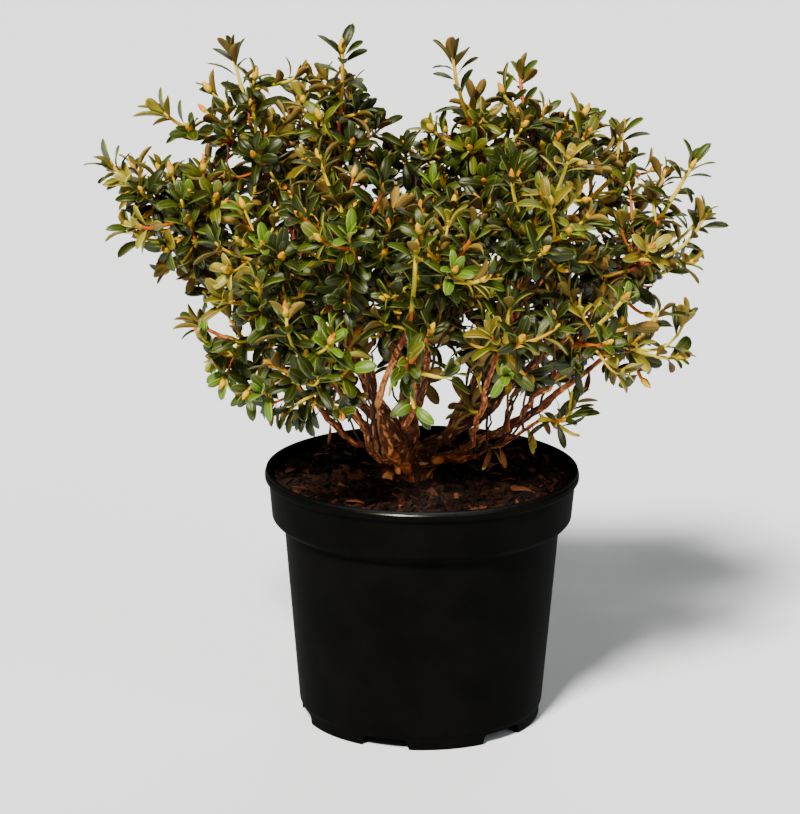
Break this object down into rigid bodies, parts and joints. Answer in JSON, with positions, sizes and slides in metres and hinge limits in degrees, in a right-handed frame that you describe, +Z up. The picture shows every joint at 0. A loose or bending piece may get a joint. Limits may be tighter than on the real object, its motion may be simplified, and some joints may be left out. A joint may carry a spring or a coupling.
{
  "type": "potted rhododendron",
  "caption": "Small-leaved evergreen rhododendron shrub, many-stemmed from a short stool, standing in a round black plastic nursery pot filled with bark potting mix.",
  "frame": {"origin": "centre of the part's footprint, on the surface that the pot stands on, under the middle of the pot", "axes": "+Z up; +X to the right and -Y towards the viewer in the front view, in which one broad foot of the pot faces forward, a little right of the middle"},
  "size_m": [0.4491, 0.3785, 0.503],
  "materials": {
    "pot": "semi-matt moulded black plastic",
    "mix": "moist dark bark chips and peat, rough",
    "bark": "flaking reddish-brown bark",
    "leaves": "glossy dark green leaves with yellow-green shoots and buds"
  },
  "bodies": {
    "root": {"pot": "pot", "potting_mix": "mix", "trunk": "bark", "bough_far_left": "bark", "bough_high_left": "bark", "bough_front_high": "bark", "bough_far_right": "bark", "bough_back_high": "bark", "bough_low_right": "bark", "bough_low_left": "bark", "bough_back_left": "bark", "bough_back_right_low": "bark", "bough_back_low": "bark", "bough_front_left_low": "bark", "bough_mid_left": "bark", "bough_top_left": "bark", "bough_back_left_high": "bark", "bough_front_left_high": "bark", "bough_front_low": "bark", "bough_middle": "bark", "bough_high_right": "bark", "bough_front_right_high": "bark", "bough_right_front": "bark", "bough_front_right_low": "bark", "bough_lowest_right": "bark", "bough_top_right": "bark", "bough_right_shoulder": "bark", "bough_back_right_high": "bark", "bough_right_back": "bark", "bough_back_left_low": "bark", "foliage_far_left": "leaves", "foliage_high_left": "leaves", "foliage_front_high": "leaves", "foliage_far_right": "leaves", "foliage_back_high": "leaves", "foliage_low_right": "leaves", "foliage_low_left": "leaves", "foliage_back_left": "leaves", "foliage_back_right_low": "leaves", "foliage_back_low": "leaves", "foliage_front_left_low": "leaves", "foliage_mid_left": "leaves", "foliage_top_left": "leaves", "foliage_back_left_high": "leaves", "foliage_front_left_high": "leaves", "foliage_front_low": "leaves", "foliage_middle": "leaves", "foliage_high_right": "leaves", "foliage_front_right_high": "leaves", "foliage_right_front": "leaves", "foliage_front_right_low": "leaves", "foliage_lowest_right": "leaves", "foliage_top_right": "leaves", "foliage_right_shoulder": "leaves", "foliage_back_right_high": "leaves", "foliage_right_back": "leaves", "foliage_back_left_low": "leaves"}
  },
  "joints": []
}
